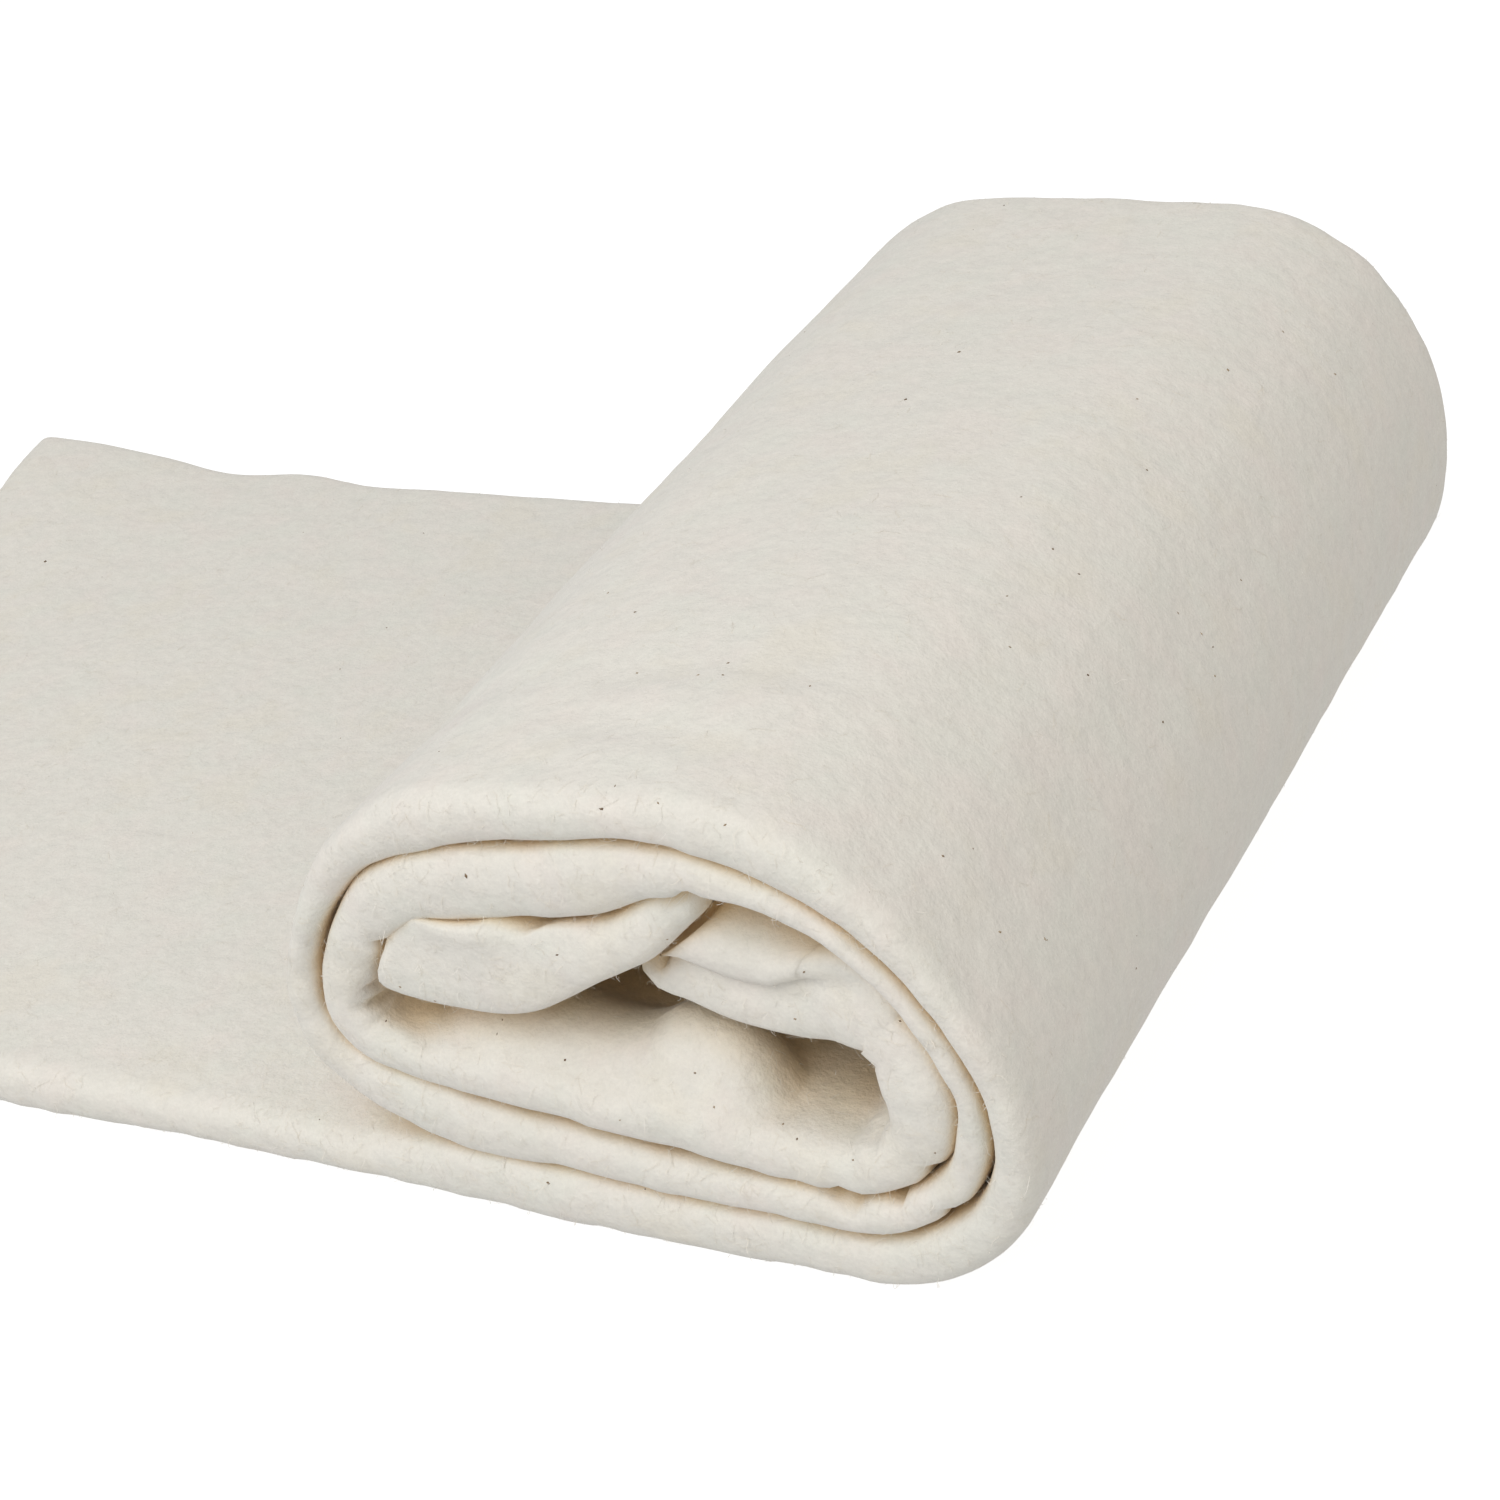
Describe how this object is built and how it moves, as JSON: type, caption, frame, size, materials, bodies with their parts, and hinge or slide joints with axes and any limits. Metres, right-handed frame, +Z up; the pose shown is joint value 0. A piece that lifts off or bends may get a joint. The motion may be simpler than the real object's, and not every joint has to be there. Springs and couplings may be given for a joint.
{
  "type": "roll of cotton batting",
  "caption": "Thick felted cotton batting wound into a flattened roll with a soft hollow, its loose end lying flat beside it.",
  "frame": {"origin": "on the flat underside, below the hollow of the roll and halfway across the cloth", "axes": "+X from the loose cut end towards the roll, +Y across the cloth away from the end of the roll that shows best, +Z up"},
  "size_m": [0.3963, 0.254, 0.0954],
  "materials": {
    "batting": "undyed cream needled cotton, fuzzy and matt"
  },
  "bodies": {
    "root": {"batting": "batting"}
  },
  "joints": []
}
